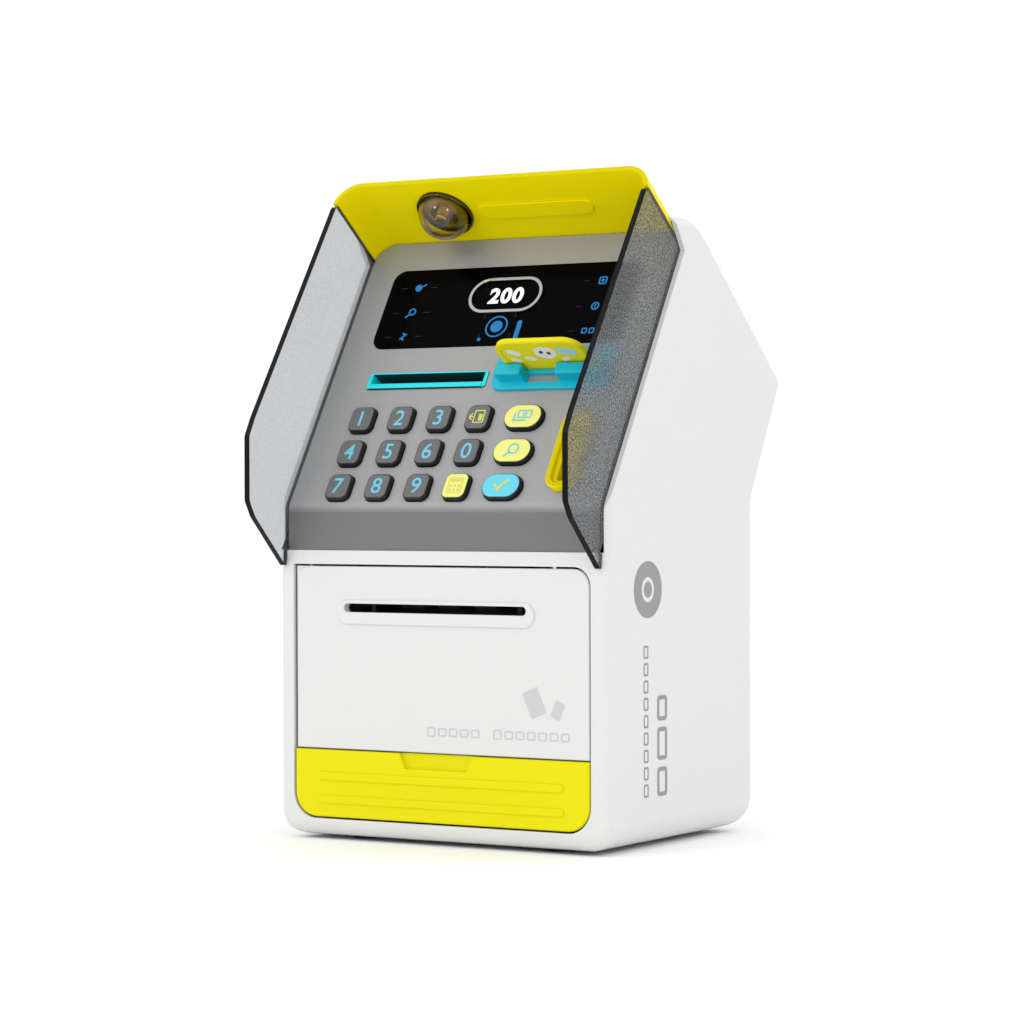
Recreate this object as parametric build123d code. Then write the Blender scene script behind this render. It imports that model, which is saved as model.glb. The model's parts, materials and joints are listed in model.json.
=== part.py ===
from build123d import *
import os
from math import atan2, degrees

# Toy cash machine savings bank, in millimetres. +Z is up, the front faces -Y,
# and the origin is the middle of the footprint, on the table.

# ---- driving dimensions -------------------------------------------------
WIDTH, DEPTH = 155.0, 175.0
HALF_W = WIDTH / 2
WALL = 2.0
FRONT_Y, BACK_Y = -61.5, 60.9
BODY_Z0 = 2.0
TOP_Z = 250.7
BROW_Z = 117.5                      # where the white front ends and the fascia starts
PEAK = (DEPTH / 2 + 1.374, 187.4)     # corner of the back bulge before rounding
BEND = (BACK_Y, 136.7)
TOP_BACK = (13.4, TOP_Z)
SIDE_ROUND = 4.5                    # all round the front, back and sides
CORNER_ROUND = 10.0                 # the two long bottom corners

# Fascia plane: leans back, x is width, y runs up the slope, z points out.
LEAN_SIN, LEAN_COS = 0.5200, 0.8542
FASCIA_Y, FASCIA_Z = 1.4, 237.4
FASCIA = Plane(origin=(0, FASCIA_Y, FASCIA_Z), x_dir=(1, 0, 0), z_dir=(0, -LEAN_COS, LEAN_SIN))
FASCIA_T = 2.2
FASCIA_HALF = 72.7
FASCIA_TOP = 10.3
KNEE_Z = 135.4

# Visor: swept out of the fascia plane, rising slightly.
HOOD_HALF, HOOD_TOP, HOOD_R, HOOD_T = 75.4, 12.75, 12.0, 2.0
HOOD_OUT, HOOD_RISE, HOOD_LEG = 35.2, 4.0, 2.9
HOOD_ROOT = 5.0
DOME, DOME_R = (-30.8, 17.6), 11.1   # lamp dome: across, out along the visor, and its radius

# Front openings
OPEN_HALF, OPEN_Z0, OPEN_Z1 = 70.0, 8.7, 111.9
LEAF_HALF, LEAF_T = 69.2, 3.0
DOOR_Z0, DOOR_Z1 = 37.3, 111.1
DRAWER_Z0, DRAWER_Z1 = 9.4, 36.7
HINGE_X, HINGE_Y, SWING_R = -64.5, -56.4, 5.9
PIN_R, RUN_GAP = 1.0, 0.06
FACE_T = 1.0                        # depth of the door's rounded face over its square backing
SLOT_X, SLOT_Z, SLOT_HALF = -1.6, 94.4, 43.0
SHELF_Z = 36.8                      # floor of the banknote chamber
LOCK_Z = 75.0

# Keypad
KEY_XS = (-49.9, -30.9, -12.1, 6.4)
KEY_VS = (-79.1, -95.1, -111.3)
OVAL_X = 27.6
KEY_L, KEY_H, KEY_R, KEY_PROUD, KEY_ROOT = 11.2, 11.8, 3.0, 2.5, 3.4
OVAL_L, OVAL_H = 17.6, 11.4
FLANGE = 0.9                        # how far a key's foot reaches past its cap
KEY_GAP = 0.35
PAD_X = (KEY_XS[0] + OVAL_X) / 2 + 1

# Note feed and dispenser
FEED_X0, FEED_X1 = -58.0, 8.0
IDLER_OFF = 9.4
GEAR_R, GEAR_TEETH = {"drive": 7.0, "motor": 3.5}, {"drive": 20, "motor": 10}
SHAFT_R = 1.5
DISPENSE = (-48.6, 97.9)

SCREW_R, SCREW_HEAD_R = 1.4, 2.7

os.makedirs("parts", exist_ok=True)


def save(node, shape):
    export_step(shape, f"parts/{node}.step")


# ---- helpers ------------------------------------------------------------
def block(x0, x1, y0, y1, z0, z1):
    centre = Pos((x0 + x1) / 2, (y0 + y1) / 2, (z0 + z1) / 2)
    return centre * Box(x1 - x0, y1 - y0, z1 - z0)


def prism(points, radii, x0, x1):
    """A side outline given as (y, z) corners, extruded across the width."""
    outline = make_face(FilletPolyline(*points, radius=radii, close=True))
    return extrude(Plane.YZ.offset(x0) * outline, x1 - x0)


def at_fascia(x, v, off, shape):
    return FASCIA.location * Pos(x, v, off) * shape


def slab(length, width, radius, thickness):
    return extrude(RectangleRounded(length, width, radius), thickness)


def pill(length, width, thickness):
    return extrude(SlotOverall(length, width), thickness)


def upright_pill(length, width, thickness):
    return extrude(SlotOverall(length, width, rotation=90), thickness)


def fascia_point(v, off=0.0):
    """(y, z) of a point on the fascia's side outline."""
    return (FASCIA_Y + v * LEAN_SIN - off * LEAN_COS, FASCIA_Z + v * LEAN_COS + off * LEAN_SIN)


def soften_top(shape, radius, axis):
    return fillet(shape.faces().sort_by(axis)[-1].edges(), radius)


def y_rod(x, z, y0, y1, radius):
    return Pos(x, (y0 + y1) / 2, z) * Rot(90, 0, 0) * Cylinder(radius, abs(y1 - y0))


def x_rod(y, z, x0, x1, radius):
    return Pos((x0 + x1) / 2, y, z) * Rot(0, 90, 0) * Cylinder(radius, x1 - x0)


def z_rod(x, y, z0, z1, radius):
    return Pos(x, y, (z0 + z1) / 2) * Cylinder(radius, z1 - z0)


def cross_drive(radius, depth):
    """Phillips recess, opening towards +Z at z = 0."""
    arm = Box(radius * 1.5, radius * 0.34, depth, align=(Align.CENTER, Align.CENTER, Align.MAX))
    return arm + Rot(0, 0, 90) * arm


def screw(length):
    """Pan head screw: the head's top is at z = 0 and the shank points down."""
    head = Cylinder(SCREW_HEAD_R, 1.6, align=(Align.CENTER, Align.CENTER, Align.MAX))
    head = fillet(head.edges().sort_by(Axis.Z)[-1], 0.6)
    shank = Pos(0, 0, -1.6) * Cylinder(SCREW_R, length, align=(Align.CENTER, Align.CENTER, Align.MAX))
    return head + shank - cross_drive(SCREW_HEAD_R, 0.9)


def hood_axis():
    """Unit vector of the visor's sweep and the sweep's length."""
    n, v = Vector(FASCIA.z_dir), Vector(FASCIA.y_dir)
    run = n * HOOD_OUT + v * HOOD_RISE
    return run.normalized(), run.length


HOOD_DIR, HOOD_RUN = hood_axis()


def hood_block(half, top, radius, low):
    """The visor's arch, filled in, from its root inside the housing to its rim."""
    arch = Pos(0, top - 50) * Rectangle(2 * half, 100)
    arch = fillet(arch.vertices().group_by(Axis.Y)[-1], radius)
    arch &= Pos(0, (top + low) / 2) * Rectangle(2 * half, top - low)
    start = Plane(FASCIA.origin - HOOD_DIR * HOOD_ROOT, x_dir=FASCIA.x_dir, z_dir=FASCIA.z_dir)
    return extrude(start * arch, HOOD_RUN + HOOD_ROOT, dir=HOOD_DIR)


# ---- housing ------------------------------------------------------------
KNEE = (fascia_point((KNEE_Z - FASCIA_Z) / LEAN_COS)[0], KNEE_Z)
BASE_HALF, BASE_Y0, BASE_Y1 = 68.4, -56.0, 47.6
OUTER = [(FRONT_Y, BODY_Z0), (FRONT_Y, TOP_Z), TOP_BACK, PEAK, BEND, (BACK_Y, BODY_Z0)]
OUTER_R = [6.0, 6.0, 22.0, 5.0, 20.0, 14.0]
REAR_HALF, REAR_Z0, REAR_Z1 = 66.0, 20.0, 128.0
REAR_SCREWS = [(sx * 61.5, z) for sx in (-1, 1) for z in (25.5, 122.5)]
BASE_SCREWS = [(sx * 61.0, y) for sx in (-1, 1) for y in (-47.0, 37.0)]
FEET = [(sx * 46.0, y) for sx in (-1, 1) for y in (-43.0, 33.0)]


def inner_outline():
    """The outer side outline moved in by the wall."""
    slope = Vector(PEAK[0] - TOP_BACK[0], PEAK[1] - TOP_BACK[1])
    run = slope.normalized()
    back = Vector(PEAK[0] - BEND[0], PEAK[1] - BEND[1]).normalized()
    top_in = (TOP_BACK[0] - WALL * 0.35, TOP_Z - WALL)
    peak_in = (PEAK[0] - WALL * (run.X + back.Y) / 1.22, PEAK[1] - WALL * 0.06)
    bend_in = (BEND[0] - WALL, BEND[1] + WALL * 0.26)
    floor = BODY_Z0 + WALL
    return [(FRONT_Y + WALL, floor), (FRONT_Y + WALL, TOP_Z - WALL), top_in, peak_in, bend_in,
            (BACK_Y - WALL, floor)]


def front_view(half, z0, radius):
    """A solid as deep as the housing with the two long bottom corners rounded."""
    face = Pos(0, z0 + 150) * Rectangle(2 * half, 300)
    face = fillet(face.vertices().group_by(Axis.Y)[0], radius)
    return extrude(Plane.XZ * face, 100, both=True)


def main_housing():
    body = prism(OUTER, OUTER_R, -HALF_W, HALF_W) & front_view(HALF_W, BODY_Z0, CORNER_ROUND)
    seams = body.edges().filter_by(Axis.Y).filter_by_position(Axis.Z, 0, BODY_Z0 + CORNER_ROUND + 1)
    body = fillet(body.edges().filter_by(Axis.X, reverse=True) - seams, SIDE_ROUND)
    hollow = prism(inner_outline(), [4.0, 0, 20.0, 4.0, 20.0, 12.0], -HALF_W + WALL, HALF_W - WALL)
    body -= hollow & front_view(HALF_W - WALL, BODY_Z0 + WALL, CORNER_ROUND - WALL)
    body -= block(-BASE_HALF, BASE_HALF, BASE_Y0, BASE_Y1, 0, BODY_Z0 + WALL + 1)
    front_cut = [(-100, BROW_Z), (FRONT_Y, BROW_Z), KNEE, (FASCIA_Y, FASCIA_Z), (-7.2, TOP_Z),
                 (-20, TOP_Z + 20), (-100, TOP_Z + 20)]
    body -= prism(front_cut, [0, 0, 9, 0, 0, 0, 0], -HALF_W - 1, HALF_W + 1)
    body -= block(-HALF_W + WALL, HALF_W - WALL, FRONT_Y - 1, FRONT_Y + WALL + 2, BROW_Z, KNEE_Z + 10)
    body -= hood_block(HOOD_HALF + 0.1, HOOD_TOP + 0.1, HOOD_R, -60)
    opening = Pos(0, (OPEN_Z0 + OPEN_Z1) / 2) * Rectangle(2 * OPEN_HALF, OPEN_Z1 - OPEN_Z0)
    opening = fillet(opening.vertices().group_by(Axis.Y)[-1].sort_by(Axis.X)[-1], 7.6)
    opening = fillet(opening.vertices().group_by(Axis.Y)[0], 10.6)
    body -= extrude(Plane.XZ.offset(-FRONT_Y - WALL) * opening, WALL + 1, both=True)
    # rear recess and opening for the cover
    body += block(-REAR_HALF - 3, REAR_HALF + 3, BACK_Y - 5.0, BACK_Y - 1, REAR_Z0 - 3, REAR_Z1 + 2.5)
    body -= block(-REAR_HALF - 0.4, REAR_HALF + 0.4, BACK_Y - 1.8, BACK_Y + 1, REAR_Z0 - 0.4, REAR_Z1 + 0.4)
    body -= block(-56, 56, BACK_Y - 6, BACK_Y, REAR_Z0 + 10, REAR_Z1 - 10)
    for x, z in REAR_SCREWS:
        body += y_rod(x, z, BACK_Y - 14, BACK_Y - 4, 3.4)
        body -= y_rod(x, z, BACK_Y - 13, BACK_Y, SCREW_R + 0.1)
    # lug for the door's upper hinge pin
    body += block(-HALF_W + 1, HINGE_X + 4, FRONT_Y + 0.5, HINGE_Y + 4, OPEN_Z1, BROW_Z - 0.2)
    body -= z_rod(HINGE_X, HINGE_Y, OPEN_Z1 - 1, BROW_Z + 1, PIN_R + RUN_GAP)
    # bosses for the base screws, joined to the side walls
    for x, y in BASE_SCREWS:
        side = 1 if x > 0 else -1
        body += z_rod(x, y, 4.8, 8.2, 4.0)
        body += block(min(x, side * 73.6), max(x, side * 73.6), y - 4, y + 4, 4.8, 8.2)
        body -= z_rod(x, y, 2, 12, SCREW_R + 0.1)
    return body


def base_plate():
    length, width = 2 * BASE_HALF - 0.4, BASE_Y1 - BASE_Y0 - 0.4
    plate = Pos(0, (BASE_Y0 + BASE_Y1) / 2, 1.8) * slab(length, width, 0.5, 2.4)
    for x, y in BASE_SCREWS:
        plate -= z_rod(x, y, 0, 10, SCREW_R + 0.2)
        plate -= z_rod(x, y, 1.0, 3.4, SCREW_HEAD_R + 0.4)
    for x, y in FEET:
        plate -= z_rod(x, y, 1.0, 3.2, 7.4)
    return plate


def rubber_feet():
    foot = Cylinder(7.2, 3.2, align=(Align.CENTER, Align.CENTER, Align.MIN))
    foot = fillet(foot.edges().sort_by(Axis.Z)[0], 0.8)
    return Compound([Pos(x, y, 0) * foot for x, y in FEET])


def base_screws():
    return Compound([Pos(x, y, 1.7) * Rot(180, 0, 0) * screw(5.0) for x, y in BASE_SCREWS])


# ---- rear cover and batteries --------------------------------------------
HATCH_X, HATCH_Z = 30.0, (34.0, 88.0)
CELL_ZS, CELL_Y = (44.5, 60.0, 75.5), 47.6
CELL_R, CELL_L = 7.1, 50.5


def rear_cover():
    z_mid, z_len = (REAR_Z0 + REAR_Z1) / 2, REAR_Z1 - REAR_Z0
    cover = Pos(0, BACK_Y, z_mid) * Rot(90, 0, 0) * slab(2 * REAR_HALF, z_len, 5, 1.6)
    cover += block(-55.4, 55.4, BACK_Y - 4.6, BACK_Y - 1, REAR_Z0 + 10.6, REAR_Z1 - 10.6)
    cover -= block(-52.4, 52.4, BACK_Y - 6, BACK_Y - 2.2, REAR_Z0 + 13.6, REAR_Z1 - 13.6)
    cover -= block(-HATCH_X - 0.4, HATCH_X + 0.4, BACK_Y - 1.5, BACK_Y + 1,
                   HATCH_Z[0] - 0.4, HATCH_Z[1] + 0.4)
    cover -= block(-HATCH_X + 2, HATCH_X - 2, BACK_Y - 6, BACK_Y, HATCH_Z[0] + 2, HATCH_Z[1] - 2)
    cover -= block(-4, 4, BACK_Y - 6, BACK_Y - 1, HATCH_Z[1] - 3, HATCH_Z[1] + 3)
    for x, z in REAR_SCREWS:
        cover -= y_rod(x, z, BACK_Y - 3, BACK_Y + 1, SCREW_R + 0.2)
        cover -= y_rod(x, z, BACK_Y - 1.1, BACK_Y + 1, SCREW_HEAD_R + 0.4)
    for row in range(5):
        for col in range(7):
            hole = y_rod(-18 + col * 6, 97 + row * 3.6, BACK_Y - 3, BACK_Y + 1, 1.1)
            cover -= hole
    return cover


def rear_cover_screws():
    one = Rot(-90, 0, 0) * screw(8.0)
    return Compound([Pos(x, BACK_Y + 0.6, z) * one for x, z in REAR_SCREWS])


def battery_door():
    z_mid, z_len = sum(HATCH_Z) / 2, HATCH_Z[1] - HATCH_Z[0]
    door = Pos(0, BACK_Y, z_mid) * Rot(90, 0, 0) * slab(2 * HATCH_X, z_len, 3, 1.3)
    for i in range(5):
        z = HATCH_Z[0] + 4 + 2.4 * i
        door += block(-9, 9, BACK_Y - 0.4, BACK_Y + 0.4, z, z + 1.0)
    door -= y_rod(0, HATCH_Z[1] - 4.4, BACK_Y - 3, BACK_Y + 1, SCREW_R + 0.2)
    return door


def battery_door_screw():
    return Pos(0, BACK_Y + 1.7, HATCH_Z[1] - 4.4) * Rot(-90, 0, 0) * screw(2.2)


def battery_box():
    box = block(-30, 30, 38.4, 54.9, 35.5, 84.5)
    box -= block(-28.4, 28.4, 40, 60, 37.1, 82.9)
    for z in (52.25, 67.75):
        box += block(-28.6, 28.6, 39, 43, z - 0.4, z + 0.4)
    return box


def batteries():
    cells = []
    for i, z in enumerate(CELL_ZS):
        side = 1 if i % 2 else -1
        cell = x_rod(CELL_Y, z, -CELL_L / 2 + 0.7, CELL_L / 2 - 0.7, CELL_R)
        ends = (CELL_L / 2 - 0.8, CELL_L / 2) if side > 0 else (-CELL_L / 2, -CELL_L / 2 + 0.8)
        cells.append(cell + x_rod(CELL_Y, z, ends[0], ends[1], 2.7))
    return Compound(cells)


def battery_contacts():
    plates = []
    for side in (-1, 1):
        for z in CELL_ZS:
            x = side * 27.6
            plates.append(block(x - 0.4, x + 0.4, CELL_Y - 5, CELL_Y + 5, z - 5, z + 5))
    return Compound(plates)


# ---- fascia -------------------------------------------------------------
SCREEN = (0.0, -23.7, 117.8, 39.05)
INLET = (-25.35, -59.6, 57.7, 7.6)
HOLDER = (34.0, -55.5, 54.0, 20.2)
CARD_V, CARD_T, CARD_LOW, CARD_L, CARD_W = -55.0, 2.0, -31.5, 52.0, 40.5
CARD_SLOT = CARD_W + 1.9
COIN = (53.0, -94.85, 12.0, 35.7)


def fascia_panel():
    upper = fascia_point(FASCIA_TOP)
    foot = (FRONT_Y + 0.5, BROW_Z + 0.1)
    top_in = (upper[0] + FASCIA_T * LEAN_COS, upper[1] - FASCIA_T * LEAN_SIN)
    knee_in = (KNEE[0] + FASCIA_T, KNEE[1] - FASCIA_T * 0.28)
    foot_in = (foot[0] + FASCIA_T, foot[1])
    panel = prism([foot, KNEE, upper, top_in, knee_in, foot_in], [0, 9, 0, 0, 7, 0],
                  -FASCIA_HALF, FASCIA_HALF)
    arch = Pos(0, FASCIA_TOP - 80) * Rectangle(2 * FASCIA_HALF, 160)
    arch = fillet(arch.vertices().group_by(Axis.Y)[-1], 9.6)
    panel &= extrude(FASCIA * arch, 40, both=True)
    x, v, length, width = SCREEN
    panel -= at_fascia(x, v, -5, slab(length + 0.5, width + 0.5, 5.7, 10))
    x, v, length, width = INLET
    panel -= at_fascia(x, v, -5, slab(length + 0.5, width + 0.5, 1.4, 10))
    panel -= at_fascia(HOLDER[0], CARD_V, -5, slab(CARD_SLOT + 2.1, 4.6, 1.0, 10))
    x, v, width, length = COIN
    panel -= at_fascia(x, v, -5, upright_pill(length - 4.0, width - 4.0, 10))
    for v in KEY_VS:
        for x in KEY_XS:
            panel -= at_fascia(x, v, -5, slab(KEY_L + 2 * KEY_GAP, KEY_H + 2 * KEY_GAP, KEY_R + KEY_GAP, 10))
        panel -= at_fascia(OVAL_X, v, -5, pill(OVAL_L + 2 * KEY_GAP, OVAL_H + 2 * KEY_GAP, 10))
    # relief behind the lowest row, where the panel turns down
    for x in KEY_XS + (OVAL_X,):
        length = OVAL_L if x == OVAL_X else KEY_L
        panel -= at_fascia(x, KEY_VS[-1], -12, slab(length + 2.8, 14.6, 2, 12 - FASCIA_T))
    return panel


def screen_window():
    x, v, length, width = SCREEN
    return at_fascia(x, v, -1.6, slab(length, width, 5.5, 2.0))


def display_bezel():
    ring = pill(34.7, 17.1, 1.1) - pill(32.1, 14.5, 1.1)
    return at_fascia(0, -19.15, 0.4, ring)


def display_board():
    board = at_fascia(0, SCREEN[1], -6.0, slab(124, 44, 2, 1.6))
    for x in (-56, 56):
        board += at_fascia(x, SCREEN[1], -4.5, Box(4, 30, 2.6, align=(Align.CENTER, Align.CENTER, Align.MIN)))
    return board


def note_inlet():
    x, v, length, width = INLET
    throat = slab(length, width, 1.2, 14.0) - Pos(0, 1.0, -1) * Box(54.6, 4.6, 40)
    lip = Box(length - 3, 1.6, 0.5, align=(Align.CENTER, Align.CENTER, Align.MIN))
    flare = Pos(0, -width / 2 + 0.8, 14.0) * lip
    return at_fascia(x, v, -13.6, throat + flare)


def card_holder():
    x, v, length, width = HOLDER
    plate = soften_top(slab(length, width, 4, 1.6), 0.5, Axis.Z)
    for left, right in ((10.0, 22.5), (38.4, 58.0)):
        jaw = Box(right - left, 5.2, 6.8, align=(Align.CENTER, Align.CENTER, Align.MIN))
        jaw = fillet(jaw.edges().filter_by(Axis.Z), 1.0)
        plate += Pos((left + right) / 2 - x, -59.2 - v, 0) * soften_top(jaw, 0.8, Axis.Z)
    thumb = Pos(30.45 - x, -60.5 - v, 3.4) * Rot(90, 0, 0) * Cylinder(8.0, 4)
    plate -= thumb
    plate -= Pos(0, CARD_V - v, -1) * Box(CARD_SLOT, CARD_T + 0.9, 20)
    return at_fascia(x, v, 0, plate)


def card_sleeve():
    low = CARD_LOW - 2.3
    depth = -FASCIA_T - low
    throat = Box(CARD_SLOT, CARD_T + 0.9, 80, align=(Align.CENTER, Align.CENTER, Align.MIN))
    flange = Box(52, 7, 2.0, align=(Align.CENTER, Align.CENTER, Align.MAX))
    sleeve = slab(48, 7.0, 1.5, depth) + Pos(0, 0, depth) * flange - Pos(0, 0, 2) * throat
    return at_fascia(HOLDER[0], CARD_V, low, sleeve)


def bank_card():
    outline = fillet(Rectangle(CARD_W, CARD_L).vertices(), 8.0)
    card = extrude(outline, CARD_T)
    card = Pos(0, CARD_T / 2, CARD_LOW + CARD_L / 2) * Rot(90, 0, 0) * card
    card = fillet(card.faces().filter_by(Axis.Y).edges(), 0.35)
    return at_fascia(HOLDER[0], CARD_V, 0, card)


def coin_slot_bezel():
    x, v, width, length = COIN
    rim = upright_pill(length, width, 3.0) - Pos(0, 0, 1.4) * upright_pill(length - 4.4, width - 4.4, 9)
    rim = fillet(rim.edges().group_by(Axis.Z)[-1], 0.6)
    rim += Pos(0, 0, -5) * (upright_pill(length - 4.8, width - 4.8, 6))
    rim -= Pos(0, 0, -6) * upright_pill(28.0, 2.8, 20)
    return at_fascia(x, v, 0, rim)


def coin_chute():
    x, v = COIN[:2]
    mouth = at_fascia(x, v, -FASCIA_T - 14, slab(11, 38, 2, 13.8))
    drop = block(x - 5.5, x + 5.5, -40, -14, 43.4, 160)
    tube = mouth + drop
    tube -= at_fascia(x, v, -FASCIA_T - 30, slab(8, 34, 1, 40))
    tube -= block(x - 4, x + 4, -38.5, -15.5, 40, 158)
    return tube


def keypad_membrane():
    return at_fascia(PAD_X, KEY_VS[1], -6.0, slab(97, 48, 3, 1.0))


def keypad_board():
    return at_fascia(PAD_X, KEY_VS[1], -7.7, slab(97, 50, 2, 1.6))


def square_key():
    cap = soften_top(slab(KEY_L, KEY_H, KEY_R, KEY_PROUD + KEY_ROOT), 1.1, Axis.Z)
    return Pos(0, 0, -KEY_ROOT) * (cap + slab(KEY_L + 2 * FLANGE, KEY_H + 2 * FLANGE, KEY_R, 1.0))


def oval_key():
    cap = soften_top(pill(OVAL_L, OVAL_H, KEY_PROUD + KEY_ROOT), 1.1, Axis.Z)
    return Pos(0, 0, -KEY_ROOT) * (cap + pill(OVAL_L + 2 * FLANGE, OVAL_H + 2 * FLANGE, 1.0))


KEY_NAMES = (("key_1", "key_2", "key_3", "key_exit"), ("key_4", "key_5", "key_6", "key_0"),
             ("key_7", "key_8", "key_9", "key_menu"))
OVAL_NAMES = ("key_transfer", "key_search", "key_confirm")


def save_keys():
    square, oval = square_key(), oval_key()
    for row, v in enumerate(KEY_VS):
        for col, x in enumerate(KEY_XS):
            save(KEY_NAMES[row][col], at_fascia(x, v, 0, square))
        save(OVAL_NAMES[row], at_fascia(OVAL_X, v, 0, oval))


# ---- visor and side panels ------------------------------------------------
def visor_hood():
    shell = hood_block(HOOD_HALF, HOOD_TOP, HOOD_R, HOOD_LEG)
    shell -= hood_block(HOOD_HALF - HOOD_T, HOOD_TOP - HOOD_T, HOOD_R - HOOD_T, -80)
    emboss = soften_top(pill(54.0, 8.4, 0.9), 0.4, Axis.Z)
    return shell + under_hood(12.6, 16.7, emboss)


def under_hood(x, along, shape):
    """Place a shape on the visor's underside, its +Z pointing down and away."""
    origin = FASCIA.origin + Vector(FASCIA.y_dir) * (HOOD_TOP - HOOD_T) + HOOD_DIR * along
    down = HOOD_DIR.cross(Vector(1, 0, 0))
    down = down if down.Z < 0 else -down
    return Plane(origin + Vector(x, 0, 0), x_dir=(1, 0, 0), z_dir=down).location * shape




def dome_bezel():
    ring = Cylinder(DOME_R + 1.3, 1.8, align=(Align.CENTER, Align.CENTER, Align.MIN))
    ring = fillet(ring.edges().sort_by(Axis.Z)[-1], 0.5)
    return under_hood(*DOME, ring - Cylinder(DOME_R + 0.1, 9))


def dome_lens():
    dome = Pos(0, 0, 0.9) * (Sphere(DOME_R) - Sphere(DOME_R - 1.2)) - Pos(0, 0, -10) * Box(30, 30, 20)
    return under_hood(*DOME, dome)


def dome_lamp():
    base = Cylinder(6.0, 2.0, align=(Align.CENTER, Align.CENTER, Align.MIN))
    barrel = Cylinder(3.4, 5.6, align=(Align.CENTER, Align.CENTER, Align.MIN))
    barrel = fillet(barrel.edges().sort_by(Axis.Z)[-1], 1.2)
    return under_hood(*DOME, base + barrel)


def side_panel(side):
    tab = 5.0
    lower_in = fascia_point(-133.0, -tab)
    upper_in = fascia_point(HOOD_LEG - 1.2, -tab)
    outline = [(-25.2, 261.1), (-83.6, 171.0), (-DEPTH / 2, 163.6), (-DEPTH / 2, 137.6),
               (-83.7, 131.2), (-62.4, 110.6), (-61.9, BROW_Z + 0.2), (lower_in[0], BROW_Z + 0.2),
               upper_in, fascia_point(HOOD_LEG - 0.5)]
    radii = [2.0, 12.0, 4.0, 4.0, 5.0, 0.6, 0, 0, 0, 0]
    inner, outer = FASCIA_HALF + 0.15, HALF_W - WALL - 0.1
    panel = prism(outline, radii, inner, outer)
    return panel if side > 0 else mirror(panel, Plane.YZ)


# ---- door, drawer and cash handling ----------------------------------------
def cash_door():
    z_mid, z_len = (DOOR_Z0 + DOOR_Z1) / 2, DOOR_Z1 - DOOR_Z0
    sheet = Rectangle(2 * LEAF_HALF, z_len)
    # the hinge corner is square at the back, where it fills the frame's square corner
    backing = fillet(sheet.vertices().group_by(Axis.Y)[-1].sort_by(Axis.X)[-1], 7.0)
    facing = fillet(sheet.vertices().group_by(Axis.Y)[-1], 7.0)
    leaf = extrude(backing, LEAF_T - FACE_T)
    leaf += Pos(0, 0, LEAF_T - FACE_T - 0.1) * extrude(facing, FACE_T + 0.1)
    leaf = Pos(0, FRONT_Y + LEAF_T, z_mid) * Rot(90, 0, 0) * leaf
    leaf = fillet(leaf.faces().sort_by(Axis.Y)[0].edges(), 0.7)
    # the left edge is rounded about the hinge so that it clears the frame
    leaf &= z_rod(HINGE_X, HINGE_Y, DOOR_Z0 - 1, DOOR_Z1 + 1, SWING_R) + block(
        HINGE_X, LEAF_HALF + 1, FRONT_Y - 1, HINGE_Y, DOOR_Z0 - 1, DOOR_Z1 + 1)
    lip = Pos(SLOT_X, FRONT_Y, SLOT_Z - 1.7) * Rot(90, 0, 0) * pill(2 * SLOT_HALF + 7, 9.9, 0.9)
    leaf += fillet(lip.faces().sort_by(Axis.Y)[0].edges(), 0.5)
    barrel = z_rod(HINGE_X, HINGE_Y, DOOR_Z0 + 0.4, DOOR_Z1 - 0.5, 2.6)
    leaf += barrel + block(HINGE_X - 2.6, HINGE_X + 2.6, FRONT_Y + 2, HINGE_Y, DOOR_Z0 + 0.4, DOOR_Z1 - 8)
    leaf -= z_rod(HINGE_X, HINGE_Y, DOOR_Z0, DOOR_Z0 + 9, PIN_R)
    leaf -= z_rod(HINGE_X, HINGE_Y, DOOR_Z1 - 6, DOOR_Z1 + 1, PIN_R)
    leaf -= Pos(SLOT_X, FRONT_Y + 6, SLOT_Z) * Rot(90, 0, 0) * pill(2 * SLOT_HALF, 3.6, 12)
    # strike that the lock bolt enters
    strike = block(60.5, 66.5, FRONT_Y + 2, HINGE_Y + 3, LOCK_Z - 5, LOCK_Z + 5)
    return leaf + strike - block(63.0, 66.6, HINGE_Y - 1, HINGE_Y + 1.4, LOCK_Z - 6, LOCK_Z + 6)


def door_hinge_pins():
    lower = z_rod(HINGE_X, HINGE_Y, DOOR_Z0 - 2.6, DOOR_Z0 + 8.5, PIN_R)
    upper = z_rod(HINGE_X, HINGE_Y, DOOR_Z1 - 5.5, BROW_Z - 0.6, PIN_R)
    return Compound([lower, upper])


def drawer_front():
    z_mid, z_len = (DRAWER_Z0 + DRAWER_Z1) / 2, DRAWER_Z1 - DRAWER_Z0
    outline = Rectangle(2 * LEAF_HALF, z_len)
    outline = fillet(outline.vertices().group_by(Axis.Y)[0], 10.0)
    leaf = Pos(0, FRONT_Y + LEAF_T, z_mid) * Rot(90, 0, 0) * extrude(outline, LEAF_T)
    leaf = fillet(leaf.faces().sort_by(Axis.Y)[0].edges(), 0.9)
    for z, low in ((26.1, 3.1), (16.7, 3.0)):
        rib = Pos(0, FRONT_Y, z) * Rot(90, 0, 0) * slab(115.4, low, 1.2, 0.6)
        leaf += rib
    notch = Polyline((-22.8, 9), (-15.8, -6.2), (13.2, -6.2), (19.7, 9), close=True)
    leaf -= Pos(0, FRONT_Y + 2.0, DRAWER_Z1) * Rot(90, 0, 0) * extrude(make_face(notch), 6)
    return leaf


def drawer_tray():
    y0, y1 = FRONT_Y + LEAF_T, 34.0
    tray = block(-65.6, 65.6, y0, y1, 11.4, 33.6)
    tray = fillet(tray.edges().filter_by(Axis.Z).group_by(Axis.Y)[-1], 4)
    tray -= block(-63.8, 63.8, y0 + 1.8, y1 - 1.8, 13.2, 40)
    for low, high in ((-69.4, -65.0), (65.0, 69.4)):
        tray += block(low, high, y0 + 6, y1 - 4, 20, 22)
    return tray


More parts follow.
